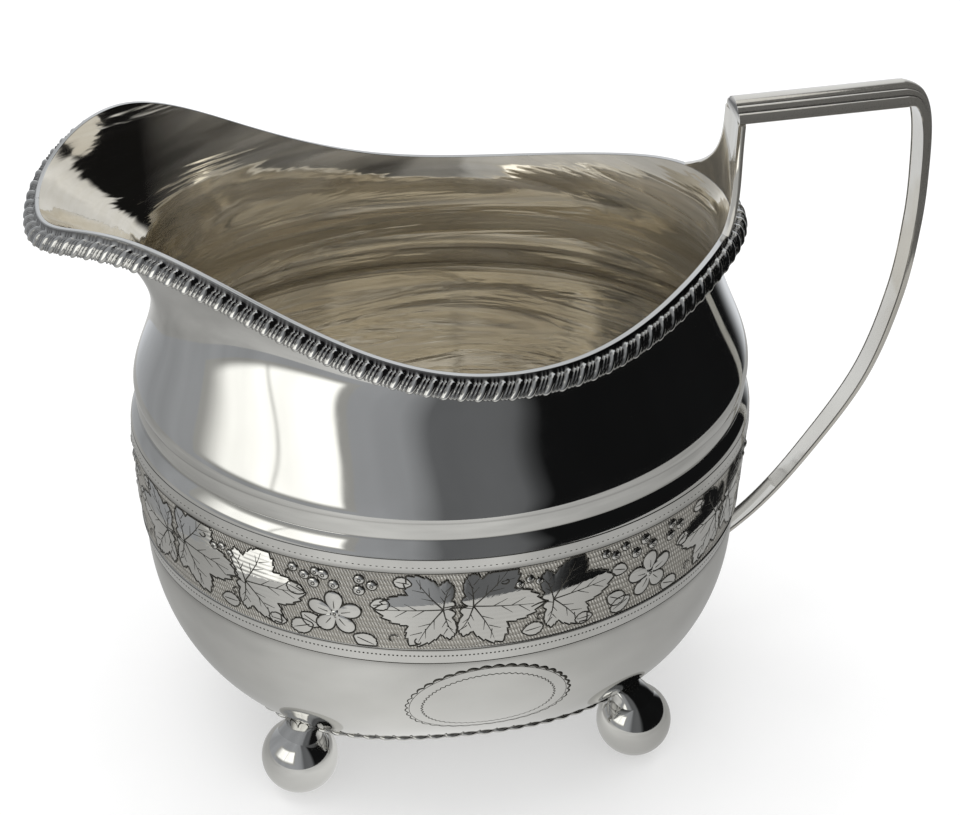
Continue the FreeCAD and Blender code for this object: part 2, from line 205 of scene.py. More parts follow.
def paced(path, angles, pitch):
    """How many whole pitches fit a path round the body, and the angle at any number of pitches along it."""
    way = walked(path)
    count = int(round(way[-1] / pitch))
    return count, lambda place: np.interp(place / count * way[-1], way, angles)


def oval(height, half_length, half_width, angle, squareness=2.0, dip=MIDDLE_DIP):
    """Points on one level of the body."""
    power = 2.0 / squareness
    along, across = np.cos(angle), np.sin(angle)
    x = half_length * np.sign(along) * np.abs(along) ** power
    y = half_width * np.sign(across) * np.abs(across) ** power
    return stack(x, y, height - dip * (1.0 - (x / half_length) ** 2))


def bowl_plan(share):
    """Half length, half width and squareness of the bowl at a share of its height."""
    turn_in = (1.0 - share) ** BOWL_CURVE
    length, width = (high - (high - low) * turn_in for low, high in zip(BASE[1:], CREASE[1:]))
    return length, width, 2.0 + (BASE_SQUARENESS - 2.0) * (1.0 - share)


def bowl(share, angle):
    height = BASE[0] + (CREASE[0] - BASE[0]) * share
    length, width, squareness = bowl_plan(share)
    return oval(height, length, width, angle, squareness, MIDDLE_DIP * share)


def zone(low, high, rise=0.0):
    """A stretch of wall between two levels, swelling out by rise at its middle."""
    def surface(share, angle):
        height, length, width = (a + (b - a) * share for a, b in zip(low, high))
        swell = rise * np.sin(np.pi * share)
        return oval(height, length + swell, width + swell, angle)
    return surface


def rim(angle):
    """The rim's edge as a uniform cubic B-spline, mirrored about the jug's length."""
    angle = np.mod(np.asarray(angle, float), TURN)
    near = angle > math.pi
    half = np.where(near, TURN - angle, angle)
    frame_points = np.array(RIM_FRAME)
    flip = np.array([1.0, -1.0, 1.0])
    control = np.vstack([frame_points[1] * flip, frame_points, frame_points[-2] * flip])
    spans = len(RIM_FRAME) - 1
    place = half / math.pi * spans
    span = np.minimum(place.astype(int), spans - 1)
    t = place - span
    weights = ((1 - t) ** 3 / 6, (3 * t ** 3 - 6 * t ** 2 + 4) / 6,
               (-3 * t ** 3 + 3 * t ** 2 + 3 * t + 1) / 6, t ** 3 / 6)
    points = sum(weight[..., None] * control[span + k] for k, weight in enumerate(weights))
    points[..., 1] *= np.where(near, -1.0, 1.0)
    return points


def outward(curve, angle):
    along = curve(angle + NEAR) - curve(angle - NEAR)
    return unit(stack(along[..., 1], -along[..., 0], 0.0))


def shoulder_line(angle):
    return oval(*SHOULDER, angle)


def neck(share, angle):
    """Shoulder, neck and flaring lip in one sweep: share 0 is the shoulder crease and 1 the rim."""
    start, end = shoulder_line(angle), rim(angle)
    towards_lip = np.maximum(0.0, -np.cos(angle)) ** 2
    towards_handle = np.maximum(0.0, np.cos(angle)) ** 2
    flare = FLARE_SIDE + (FLARE_LIP - FLARE_SIDE) * towards_lip + (FLARE_HANDLE - FLARE_SIDE) * towards_handle
    reach = (end[..., 2] - start[..., 2]) * (FLARE_REACH + (FLARE_REACH_LIP - FLARE_REACH) * towards_lip)
    pull = outward(rim, angle) * np.sin(flare)[..., None]
    pull[..., 2] = np.cos(flare)
    bulge = BULGE_SIDE + (BULGE_END - BULGE_SIDE) * np.cos(angle) ** 2
    first = start + outward(shoulder_line, angle) * bulge[..., None] + np.array([0, 0, SHOULDER_LIFT])
    second = end - pull * reach[..., None]
    s = np.asarray(share, float)[..., None]
    rest = 1.0 - s
    return start * rest ** 3 + first * (3 * rest ** 2 * s) + second * (3 * rest * s ** 2) + end * s ** 3


def wall_normal(surface, share, angle):
    around = surface(share, angle + NEAR) - surface(share, angle - NEAR)
    up = surface(np.minimum(1.0, share + NEAR), angle) - surface(np.maximum(0.0, share - NEAR), angle)
    return unit(np.cross(around, up))


def inner_neck(share, angle):
    level = outward(lambda a: neck(share, a), angle)
    blend = np.minimum(1.0, np.asarray(share) / 0.2)[..., None]
    direction = unit(level * (1.0 - blend) + wall_normal(neck, share, angle) * blend)
    return neck(share, angle) - direction * WALL


def inset(surface, depth=WALL):
    def moved(share, angle):
        return surface(share, angle) - outward(lambda a: surface(share, a), angle) * depth
    return moved


# ---- mesh helpers ----

def add_object(name, data):
    made = bpy.data.objects.new(name, data)
    bpy.context.scene.collection.objects.link(made)
    return made


def make_object(name, vertices, faces, material, floats=None, vectors=None, sharp=None, inside=None):
    """A mesh from millimetre points; floats and vectors are named attributes; inside marks inner faces."""
    mesh = bpy.data.meshes.new(name)
    placed = (np.asarray(vertices, float).reshape(-1, 3) + np.array([BODY_X, 0, 0])) * MM
    mesh.from_pydata(placed.tolist(), [], [tuple(int(i) for i in face) for face in faces])
    for kind, key, attributes in (("FLOAT", "value", floats), ("FLOAT_VECTOR", "vector", vectors)):
        for attribute_name, values in (attributes or {}).items():
            made = mesh.attributes.new(attribute_name, kind, "POINT")
            made.data.foreach_set(key, np.asarray(values, np.float32).ravel())
    work = bmesh.new()
    work.from_mesh(mesh)
    bmesh.ops.recalc_face_normals(work, faces=work.faces)
    work.to_mesh(mesh)
    work.free()
    mesh.polygons.foreach_set("use_smooth", [True] * len(mesh.polygons))
    if sharp:
        mesh.set_sharp_from_angle(angle=math.radians(sharp))
    mesh.materials.append(material)
    if inside is not None:
        mesh.materials.append(INSIDE)
        mesh.polygons.foreach_set("material_index", np.asarray(inside, np.int32))
    return add_object(name, mesh)


def grid_faces(rows, columns, wrap_rows=False, wrap_columns=False):
    faces = []
    for r in range(rows if wrap_rows else rows - 1):
        for c in range(columns if wrap_columns else columns - 1):
            r2, c2 = (r + 1) % rows, (c + 1) % columns
            faces.append((r * columns + c, r * columns + c2, r2 * columns + c2, r2 * columns + c))
    return faces


def tube_faces(rows, columns):
    """Rings joined into a tube, with a face over each end."""
    last = (rows - 1) * columns
    ends = [tuple(range(columns)), tuple(range(last, last + columns))]
    return grid_faces(rows, columns, False, True) + ends


def strip_faces(rows, columns):
    """Lines side by side joined into a closed strip, with a face over each end."""
    ends = [tuple(r * columns + end for r in range(rows)) for end in (0, columns - 1)]
    return grid_faces(rows, columns, True, False) + ends


def piece_of(piece, *nodes):
    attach(piece, "root")
    if nodes:
        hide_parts(*nodes)


class Patchwork:
    """Collects many small patches into one mesh."""

    def __init__(self):
        self.points, self.faces, self.facets, self.walls, self.count = [], [], [], [], 0

    def add(self, points, faces, facet=0.0, wall=(0.0, 0.0, 0.0)):
        points = np.asarray(points, float).reshape(-1, 3)
        self.points.append(points)
        self.facets.append(np.broadcast_to(np.asarray(facet, float).ravel(), (len(points),)))
        self.walls.append(np.broadcast_to(np.asarray(wall, float).reshape(-1, 3), (len(points), 3)))
        self.faces += [tuple(i + self.count for i in face) for face in faces]
        self.count += len(points)

    def finish(self, name, material, sharp=None):
        floats = {"facet": np.concatenate(self.facets)}
        vectors = {"wall_mm": np.vstack(self.walls)}
        piece_of(make_object(name, np.vstack(self.points), self.faces, material, floats, vectors, sharp))


# ---- materials ----

def feed(tree, socket, value):
    """Links a socket to another, or sets its plain value."""
    if isinstance(value, bpy.types.NodeSocket):
        tree.links.new(value, socket)
    else:
        socket.default_value = value


def node(tree, kind, settings=None, **inputs):
    made = tree.nodes.new(kind)
    for key, value in (settings or {}).items():
        setattr(made, key, value)
    for key, value in inputs.items():
        feed(tree, made.inputs[key.replace("_", " ")], value)
    return made


def polish(name, **inputs):
    """A new material; inputs are those of its shader, by name. Gives its tree too."""
    material = bpy.data.materials.new(name)
    material.use_nodes = True
    shader_inputs = material.node_tree.nodes["Principled BSDF"].inputs
    for key, value in inputs.items():
        shader_inputs[key.replace("_", " ")].default_value = value
    return material, material.node_tree, shader_inputs


def attribute(tree, name, output="Fac"):
    return node(tree, "ShaderNodeAttribute", {"attribute_name": name}).outputs[output]


def object_place(tree):
    return node(tree, "ShaderNodeTexCoord").outputs["Object"]


def noise(tree, coordinates, scale, detail=3.0, roughness=0.55, stretch=None, distortion=0.0):
    if stretch:
        coordinates = node(tree, "ShaderNodeMapping", Vector=coordinates, Scale=stretch).outputs["Vector"]
    return node(tree, "ShaderNodeTexNoise", Vector=coordinates, Scale=scale, Detail=detail,
                Roughness=roughness, Distortion=distortion).outputs["Fac"]


def spread(tree, value, low, high, to_low, to_high):
    limits = {"From_Min": low, "From_Max": high, "To_Min": to_low, "To_Max": to_high}
    return node(tree, "ShaderNodeMapRange", Value=value, **limits).outputs["Result"]


def mix_colour(tree, share, first, second):
    made = node(tree, "ShaderNodeMix", {"data_type": "RGBA"})
    feed(tree, made.inputs[0], share)
    for socket, value in ((made.inputs[6], first), (made.inputs[7], second)):
        feed(tree, socket, (*value, 1.0) if isinstance(value, tuple) else value)
    return made.outputs[2]


def math_node(tree, operation, first, second=0.0):
    made = node(tree, "ShaderNodeMath", {"operation": operation})
    feed(tree, made.inputs[0], first)
    feed(tree, made.inputs[1], second)
    return made.outputs[0]


def times(tree, first, second):
    return math_node(tree, "MULTIPLY", first, second)


def bump(tree, height, depth, **normal):
    """Normal for a height that reaches depth millimetres."""
    made = node(tree, "ShaderNodeBump", Strength=1.0, Distance=depth * MM, Height=height, **normal)
    return made.outputs["Normal"]


def silver(name, bright, toned, dark, roughness, wave, scratch, metallic=1.0):
    """Polished silver: hammered waviness, fine polishing lines, uneven tone, and tarnish with painted shade
    darkening creases and grooves.
    """
    material, tree, inputs = polish(name, Metallic=metallic)
    place = object_place(tree)
    clouds = noise(tree, place, 38.0, 4.0)
    # darkening read from the mesh: tarnish in creases and grooves, plus painted shade standing in for the
    # shade that falls there
    tarnish_and_shade = attribute(tree, "tarnish_and_shade")
    colour = mix_colour(tree, spread(tree, clouds, 0.35, 0.7, 0.0, 1.0), bright, toned)
    feed(tree, inputs["Base Color"], mix_colour(tree, tarnish_and_shade, colour, dark))
    lines = noise(tree, place, 900.0, 3.0, 0.6, (1.0, 1.0, 0.07))
    smudges = noise(tree, place, 110.0, 5.0)
    rough = math_node(tree, "ADD", spread(tree, smudges, 0.35, 0.75, roughness * 0.6, roughness * 1.5),
                      spread(tree, lines, 0.4, 0.8, 0.0, roughness * 0.6))
    feed(tree, inputs["Roughness"], math_node(tree, "ADD", rough, times(tree, tarnish_and_shade, 0.25)))
    waves = bump(tree, noise(tree, place, 55.0, 2.0, 0.4), wave)
    feed(tree, inputs["Normal"], bump(tree, lines, scratch, Normal=waves))
    return material


def faceted_leaf():
    """Bright-cut leaves: the upper part of each is cut on a slant that tips its polish upward."""
    material = silver("bright_cut_silver", (0.66, 0.655, 0.63), (0.60, 0.59, 0.56), (0.05, 0.045, 0.04),
                      0.10, 0.05, 0.002)
    tree = material.node_tree
    normal = tree.nodes["Principled BSDF"].inputs["Normal"]
    up = node(tree, "ShaderNodeSeparateXYZ", Vector=attribute(tree, "wall_mm", "Vector")).outputs["Y"]
    lines = math_node(tree, "SINE", times(tree, up, TURN / FACET_PITCH))
    height = math_node(tree, "SUBTRACT", times(tree, lines, FACET_LINES),
                       times(tree, attribute(tree, "facet"), FACET_SLOPE))
    feed(tree, normal, bump(tree, height, 1.0, Normal=normal.links[0].from_socket))
    return material


def toned_inside():
    """Inside of the jug: silver gone olive-brown, with the drawn-out ripples left by raising it."""
    material, tree, inputs = polish("toned_inside_silver")
    wall = attribute(tree, "wall_mm", "Vector")
    place = object_place(tree)
    ripples = noise(tree, wall, 1.0, 3.0, 0.5, (0.022, 0.16, 1.0), 1.3)
    streaks = noise(tree, wall, 1.0, 4.0, 0.6, (0.03, 0.9, 1.0))
    clouds = noise(tree, place, 45.0, 4.0)
    streaked = spread(tree, streaks, 0.35, 0.7, 0.0, 1.0)
    colour = mix_colour(tree, streaked, (0.84, 0.795, 0.70), (0.76, 0.71, 0.60))
    colour = mix_colour(tree, spread(tree, clouds, 0.4, 0.75, 0.0, 0.6), colour, (0.66, 0.59, 0.47))
    # darkened where the mesh marks the inner grooves: tarnish plus painted shade
    feed(tree, inputs["Base Color"], mix_colour(tree, attribute(tree, "tarnish_and_shade"), colour, (0.10, 0.075, 0.05)))
    dull = attribute(tree, "dull")
    patch = times(tree, dull, spread(tree, ripples, 0.35, 0.65, 0.25, 1.0))
    feed(tree, inputs["Metallic"], spread(tree, patch, 0.0, 1.0, 1.0, 0.66))
    feed(tree, inputs["Roughness"],
         math_node(tree, "ADD", spread(tree, clouds, 0.3, 0.75, 0.04, 0.09), times(tree, dull, 0.02)))
    feed(tree, inputs["Normal"], bump(tree, streaks, 0.020, Normal=bump(tree, ripples, 0.46)))
    return material


def matted_ground():
    """The ground between the leaves: short slanting cuts in rows, with a painted highlight on one side of
    each and painted shade in the cut.
    """
    material, tree, inputs = polish("matted_ground_silver", Metallic=1.0, Roughness=0.34)
    wall = attribute(tree, "wall_mm", "Vector")
    along, up = node(tree, "ShaderNodeSeparateXYZ", Vector=wall).outputs[:2]

    def waves(x, y, pitch, distortion, detail_scale):
        place = node(tree, "ShaderNodeCombineXYZ", X=x, Y=y).outputs["Vector"]
        return node(tree, "ShaderNodeTexWave", Vector=place, Scale=0.314 / pitch, Distortion=distortion,
                    Detail=2.0, Detail_Scale=detail_scale).outputs["Fac"]

    cuts = waves(math_node(tree, "ADD", along, times(tree, up, 0.35)), up, HATCH_PITCH, 1.6, 1.5)
    rows = waves(up, along, HATCH_ROW, 2.0, 0.8)
    depth = times(tree, cuts, spread(tree, rows, 0.1, 0.6, 0.35, 1.0))
    patches = noise(tree, wall, 0.35, 3.0)
    # painted light: each cut's colour runs from dark in the cut to bright on its side
    bright = spread(tree, depth, 0.15, 0.6, 0.0, 1.0)
    colour = mix_colour(tree, bright, (0.30, 0.285, 0.255), (0.80, 0.78, 0.73))
    colour = mix_colour(tree, spread(tree, patches, 0.4, 0.7, 0.0, 0.45), colour, (0.46, 0.44, 0.39))
    feed(tree, inputs["Base Color"], colour)
    feed(tree, inputs["Normal"], bump(tree, depth, 0.10))
    return material


SILVER = silver("polished_silver", (0.68, 0.675, 0.655), (0.62, 0.615, 0.59), (0.05, 0.045, 0.04),
                0.055, 0.05, 0.0006)
# Handle silver: a satin finish, plus painted light: paler and partly non-metallic so its sides show grey
# where mirror silver would show the dark room.
SATIN_LIGHTENED_SILVER = silver("satin_lightened_silver", (0.80, 0.775, 0.715), (0.70, 0.67, 0.605), (0.04, 0.035, 0.03),
              0.09, 0.09, 0.002, 0.87)
INSIDE = toned_inside()
GROUND = matted_ground()
LEAF = faceted_leaf()
# Engraved lines, dots and scallops: their dark colour is painted shade of the cuts.
CUT = silver("cut_line_silver", (0.12, 0.115, 0.10), (0.07, 0.065, 0.055), (0.03, 0.027, 0.022),
             0.40, 0.02, 0.002)


# ---- body ----

ANGLES = np.arange(COLUMNS) * TURN / COLUMNS
DENSE_ANGLES = np.linspace(-1.5 * math.pi, 0.5 * math.pi, 8001)
DENSE_LENGTH = walked(oval(BAND_LOW[0], 0.5 * (BAND_LOW[1] + BAND_TOP[1]), 0.5 * (BAND_LOW[2] + BAND_TOP[2]),
                           DENSE_ANGLES))
DENSE_LENGTH -= np.interp(FRONT, DENSE_ANGLES, DENSE_LENGTH)
GIRTH = DENSE_LENGTH[-1] - DENSE_LENGTH[0]
# Distance along the inside wall, with its jump in the middle of the front.
ALONG_BAND = np.interp(np.where(ANGLES > 0.5 * math.pi, ANGLES - TURN, ANGLES), DENSE_ANGLES, DENSE_LENGTH)
ALONG_BAND = np.mod(ALONG_BAND, GIRTH)


def body():
    """The sheet wall as one closed skin: rings up the outside, over the rim and down the inside."""
    ridge_low, ridge_high = zone(TORUS, VALLEY, RIDGE_RISE), zone(VALLEY, SHOULDER, STRIPE_RISE)
    outer = [                   # surface, shares of its height, and how deep the wall is sunk at some of them
        (bowl, [0.0, 0.004] + between(0.02, 0.985, 40) + [0.995], {}),
        (zone(CREASE, BAND_LOW), [0.03, 0.08, 0.5, 0.86, 0.9], {}),
        (zone(BAND_LOW, BAND_TOP), [0.0, 0.012, 0.022, 0.5, 0.978, 0.988],
         {0.022: BAND_RECESS, 0.5: BAND_RECESS, 0.978: BAND_RECESS}),
        (zone(BAND_TOP, TORUS), [0.0, 0.3, 0.34, 0.46, 0.5, 0.93, 0.98], {0.98: 0.12}),
        (ridge_low, [0.02] + between(0.08, 0.92, 10) + [0.985], {}),
        (ridge_high, [0.015] + between(0.08, 0.92, 10) + [0.99], {}),
        (neck, [0.003, 0.012] + between(0.03, 1.0, 56), {}),
    ]
    inner = [                   # surface, shares of its height, and the tarnish and painted shade in its corners
        (inner_neck, between(1.0, 0.01, 44), 0.0),
        (inset(ridge_high), between(0.97, 0.03, 9), 0.75),
        (inset(ridge_low), between(0.97, 0.03, 9), 0.75),
        (inset(zone(BAND_TOP, TORUS)), [0.97, 0.03], 0.0),
        (inset(zone(BAND_LOW, BAND_TOP)), [0.97, 0.5, 0.03], 0.0),
        (inset(zone(CREASE, BAND_LOW)), [0.9, 0.1], 0.0),
        (inset(bowl), between(0.99, 0.0, 20), 0.0),
    ]
    rows, tarnish_and_shade = [], []
    for surface, shares, sunk in outer:
        for share in shares:
            rows.append(inset(surface, sunk.get(share, 0.0))(share, ANGLES))
            # darker towards the ends of each stretch and at the foot of the neck: tarnish in the creases,
            # plus painted shade of the creases
            corner = 0.45 * math.exp(-min(share, 1.0 - share) * 60.0)
            tarnish_and_shade.append(0.4 * math.exp(-share * 160.0) if surface is neck else corner)
    outside_rows = len(rows)
    # inside, the hollows behind the two ridges are darkened: painted shade of these grooves, with tarnish
    for surface, shares, inner_tarnish_and_shade in inner:
        for share in shares:
            rows.append(surface(share, ANGLES))
            tarnish_and_shade.append(inner_tarnish_and_shade * math.exp(-min(share, 1.0 - share) * 6.0))
    points = np.array(rows)
    dull = np.clip((points[..., 0] - DULL_FROM) / DULL_RUN, 0.0, 1.0)
    inside = np.repeat(np.arange(len(rows)) >= outside_rows, COLUMNS)
    piece = make_object("body", points, grid_faces(len(rows), COLUMNS, True, True), SILVER,
                        {"tarnish_and_shade": np.repeat(tarnish_and_shade, COLUMNS), "dull": dull},
                        {"wall_mm": stack(ALONG_BAND, points[..., 2], 0.0)}, 22, inside)
    piece_of(piece, "body_shell")


def base_disc():
    """Plate under the body: a rounded edge nicked in scallops, a tooled ring below, the jug's floor above."""
    low, high = PLATE_LOW.z, PLATE_HIGH.z
    half = 0.5 * (high - low)
    length, width = 0.5 * (PLATE_HIGH.x - PLATE_LOW.x), 0.5 * (PLATE_HIGH.y - PLATE_LOW.y)
    dense = np.linspace(0.0, TURN, 8001)
    scallops, angle_at = paced(oval(low, length, width, dense, BASE_SQUARENESS, 0.0), dense, SCALLOP_PITCH)
    columns = scallops * SCALLOP_COLUMNS
    place = np.arange(columns) / SCALLOP_COLUMNS
    nick = 1.0 - np.abs(np.sin(math.pi * place)) ** 0.8
    levels = [(high, inwards) for inwards in FLOOR_RINGS + (PLATE_ROUND,)]
    for turn in np.linspace(0.5 * math.pi, -0.5 * math.pi, 7):
        levels.append((low + half + half * math.sin(turn), PLATE_ROUND * (1.0 - math.cos(turn))))
    floor_of_groove = low + GROOVE_DEPTH
    levels.append((low, 0.6))
    levels += zip((low, floor_of_groove, floor_of_groove, low), TOOLED_RING)
    levels.append((low, 29.0))
    rows = []
    for height, inwards in levels:
        shrink = inwards + SCALLOP_NICK * nick * math.exp(-inwards / 1.5)
        rows.append(oval(height, length - shrink, width - shrink, angle_at(place), BASE_SQUARENESS, 0.0))
    points = np.array(rows)
    faces = tube_faces(len(rows), columns)
    # the nicks of the scalloped edge are darkened by their depth: painted shade in the nicks, with tarnish
    nick_tarnish_and_shade = 0.8 * nick ** 2 * (np.arange(len(rows)) >= len(FLOOR_RINGS))[:, None]
    inside = np.arange(len(faces)) < columns * (len(FLOOR_RINGS) - 1)
    inside[-2] = True
    floats = {"tarnish_and_shade": nick_tarnish_and_shade, "dull": np.ones(nick_tarnish_and_shade.shape)}
    piece = make_object("base_disc", points, faces, SILVER, floats, {"wall_mm": points}, 50, inside)
    piece_of(piece, "base_plate")


# ---- engraving ----

def band_place(along, up, lift=0.0):
    """Points and outward normals on the engraved band, from millimetres along it and up it."""
    along = np.mod(np.asarray(along, float) + 0.5 * GIRTH, GIRTH) - 0.5 * GIRTH
    angle = np.interp(along, DENSE_LENGTH, DENSE_ANGLES)
    share = np.asarray(up, float) / BAND_HEIGHT
    surface = zone(BAND_LOW, BAND_TOP)
    normal = wall_normal(surface, np.clip(share, 0.02, 0.98), angle)
    return surface(share, angle) + normal * np.asarray(lift)[..., None], normal


def bowl_place(across, up):
    """The same on the front of the bowl, from millimetres right of the middle and up from the base edge."""
    shares = np.linspace(0.0, 1.0, 400)
    share = np.interp(up, walked(bowl(shares, np.full(400, FRONT))), shares)
    half_length, _, squareness = bowl_plan(share)
    ratio = np.asarray(across) / half_length
    angle = -np.arccos(np.sign(ratio) * np.abs(ratio) ** (squareness / 2.0))
    return bowl(share, angle), wall_normal(bowl, share, angle)


def ribbon(patches, points, normals, widths, lift, closed=False):
    """A cut line: a shallow sliver that shows as a dark stroke on the surface."""
    if closed:
        direction = np.roll(points, -1, axis=0) - np.roll(points, 1, axis=0)
    else:
        direction = np.gradient(points, axis=0)
    side = unit(np.cross(normals, direction))
    half = 0.5 * np.broadcast_to(np.asarray(widths, float), (len(points),))[:, None]
    raised = points + normals * lift
    loops = np.stack([raised + side * half, raised - side * half, points - normals * CUT_ROOT], axis=1)
    patches.add(loops, grid_faces(len(points), 3, True, True) if closed else tube_faces(len(points), 3))


def taper(count, thick, thin=0.05):
    share = np.linspace(0.0, 1.0, count)
    return thin + (thick - thin) * np.sin(np.pi * (0.18 + 0.82 * share)) ** 0.8


def on_band(centre, direction, x, y):
    """Turns a pattern's own points by direction and sets them at centre, clear of the band's border lines."""
    c, s = math.cos(direction), math.sin(direction)
    up = np.clip(centre[1] + (x * s + y * c), BAND_MARGIN, BAND_HEIGHT - BAND_MARGIN)
    return centre[0] + (x * c - y * s), up


def round_turn(count):
    return np.linspace(-math.pi, math.pi, count, endpoint=False)


def polar_patch(patches, centre, direction, outline, lift_at, rings=9, spokes=120, facets=0.0):
    """A closed plate on the band, from a polar outline and the lift of its top on the way out to it."""
    turn = round_turn(spokes)
    reach = outline(turn)
    shares = between(0.08, 0.93, rings - 1) + [1.0, 1.0]
    lifts = [lift_at(share, turn) for share in shares[:-1]] + [-GROUND_DEPTH - PLATE_ROOT]
    rows, walls = [], []
    for share, lift in zip(shares, lifts):
        along, up = on_band(centre, direction, reach * share * np.cos(turn), reach * share * np.sin(turn))
        rows.append(band_place(along, up, lift)[0])
        walls.append(stack(along, up, 0.0))
    places = np.array(walls)
    tipped = np.maximum(0.0, places[..., 1] - centre[1] - 1.3 - 0.12 * (places[..., 0] - centre[0])) * facets
    patches.add(np.array(rows), tube_faces(len(rows), spokes), tipped, places)


def band_stroke(cuts, centre, direction, x, y, widths, lift, closed=False):
    points, normals = band_place(*on_band(centre, direction, x, y))
    ribbon(cuts, points, normals, widths, lift, closed)


def outline_stroke(cuts, centre, direction, outline, count, width=0.26, gap=0.05):
    """The dark line round a leaf or a flower."""
    turn = round_turn(count)
    edge = outline(turn) + gap
    band_stroke(cuts, centre, direction, edge * np.cos(turn), edge * np.sin(turn), width, OUTLINE_LIFT, True)


def rib_stroke(cuts, centre, direction, run, aim, widths, lift=RIB_LIFT, root=(0.0, 0.0)):
    """A line that leaves root at the angle aim."""
    x, y = root[0] + run * np.cos(aim), root[1] + run * np.sin(aim)
    band_stroke(cuts, centre, direction, x, y, widths, lift)


def blade_lift(share, turn):
    """Height of a leaf's face: flat, and rounded down at the edge."""
    return -0.05 - 0.035 * share ** 8


def leaf_outline(reach, teeth=4):
    """Palmate leaf: each lobe is (direction, share of the reach, half spread)."""
    def outline(turn):
        result = np.full(turn.shape, 0.20)
        for direction, share, half_spread in LOBES:
            apart = np.abs(np.angle(np.exp(1j * (turn - direction)))) / half_spread
            blade = share * (1.0 - 0.42 * np.minimum(apart, 1.15) ** 1.5)
            saw = np.mod(apart * teeth, 1.0)
            blade = blade * (1.0 - 0.085 * saw) * (apart < 1.15)
            result = np.maximum(result, blade)
        from_stem = np.abs(np.abs(turn) - math.pi)
        return reach * result * (1.0 - 0.6 * np.exp(-(from_stem / 0.30) ** 2))
    return outline


def leaf(plates, cuts, centre, direction, reach):
    """Lobed vine leaf with its outline, a rib up each lobe and side ribs, cut bright against the ground."""
    outline = leaf_outline(reach)
    polar_patch(plates, centre, direction, outline, blade_lift, 14, 160, 1.0)
    outline_stroke(cuts, centre, direction, outline, 190)
    for aim, share, _ in LOBES:
        length = reach * share * 0.84
        step = np.linspace(0.0, 1.0, 9)
        bend = 0.10 * aim * step ** 2
        rib_stroke(cuts, centre, direction, length * step, aim + bend, np.linspace(0.26, 0.07, 9))
        for start, side in ((0.32, 1), (0.45, -1), (0.62, 1), (0.74, -1)):
            root = (length * start * math.cos(aim), length * start * math.sin(aim))
            rib_stroke(cuts, centre, direction, np.linspace(0.0, length * 0.26, 5), aim + side * 0.62,
                       np.linspace(0.17, 0.06, 5), root=root)


def flower(plates, cuts, centre, size, direction):
    """Five petals round a small boss."""
    def outline(turn):
        return size * (0.34 + 0.66 * np.abs(np.cos(2.5 * turn)) ** 0.55)

    def petal_lift(share, turn):
        swell = np.abs(np.cos(2.5 * turn)) * np.sin(math.pi * min(1.0, share))
        return -0.05 + 0.20 * swell - 0.04 * share ** 8

    polar_patch(plates, centre, direction, outline, petal_lift, 12, 110)
    outline_stroke(cuts, centre, direction, outline, 110)
    for petal in range(5):
        run = np.linspace(0.26 * size, 0.62 * size, 5)
        rib_stroke(cuts, centre, direction, run, TURN * petal / 5, taper(5, 0.16), 0.15)
    berry(plates, cuts, centre, 0.16 * size)


def berry(plates, cuts, centre, radius):
    """A berry or a flower's boss: a small dome in a dark ring, with a pricked middle."""
    polar_patch(plates, centre, 0.0, lambda turn: np.full(turn.shape, radius),
                lambda share, turn: -0.08 + 0.30 * math.sqrt(max(0.0, 1.0 - share ** 2)), 8, 28)
    turn = np.linspace(0.0, TURN, 30, endpoint=False)
    for size, width, lift in ((radius * 1.04, 0.20, 0.02), (radius * 0.30, 0.16, 0.23)):
        band_stroke(cuts, centre, 0.0, size * np.cos(turn), size * np.sin(turn), width, lift, True)


def sprig(plates, cuts, centre, direction, length):
    """A small pointed leaf with a midrib."""
    def outline(turn):
        blade = np.clip(np.cos(turn * 0.5), 0.0, 1.0) ** 7
        return length * (0.16 + 0.84 * blade * (1.0 - 0.10 * np.mod(np.abs(turn) * 7.0, 1.0)))

    polar_patch(plates, centre, direction, outline, blade_lift, 7, 60)
    outline_stroke(cuts, centre, direction, outline, 70, 0.22, 0.04)
    rib_stroke(cuts, centre, direction, np.linspace(0.0, 0.85 * length, 6), 0.0, taper(6, 0.18))


def tendril(cuts, centre, direction, size):
    """A curling stem."""
    turn = np.linspace(0.0, 4.4, 26)
    rib_stroke(cuts, centre, direction, size * (1.0 - 0.17 * turn), turn, taper(26, 0.24), 0.0)


def engraved_band():
    """Six sprays round the band: a flower with berries, two leaves stem to stem and a third after them."""
    random = np.random.default_rng(7)
    plates, cuts = Patchwork(), Patchwork()
    for place in SPRAYS:
        sway = random.uniform(-1.0, 1.0, 8)
        flower(plates, cuts, (place, 6.2), 4.3, math.radians(90.0 + 8.0 * sway[0]))
        for along, up, radius in BERRIES:
            berry(plates, cuts, (place + along, up), radius)
        for k, (along, up, aim, reach) in enumerate(LEAVES):
            centre = (place + along, up + 0.2 * sway[2 * k + 1])
            leaf(plates, cuts, centre, math.radians(aim + 4.0 * sway[2 * k + 2]), reach)
        for along, up, aim, length in SPRIGS:
            sprig(plates, cuts, (place + along, up), math.radians(aim), length)
        for along, up, aim, size in TENDRILS:
            tendril(cuts, (place + along, up), math.radians(aim), size)
        stem = np.linspace(0.0, 4.6, 8)
        for offset in (-0.22, 0.22):
            band_stroke(cuts, (place + 16.7, 8.6 + offset), 0.0, stem, 0.36 * np.sin(stem * math.pi / 4.6),
                        taper(8, 0.2), STEM_LIFT)
        stalk = np.linspace(0.0, 3.6, 7)
        curl = 0.5 * np.sin(stalk * 0.9)
        band_stroke(cuts, (place + 30.4, 7.2), 0.0, stalk, curl, taper(7, 0.24), STEM_LIFT)
    plates.finish("engraved_sprays", LEAF, 30)
    cuts.finish("engraved_lines", CUT)


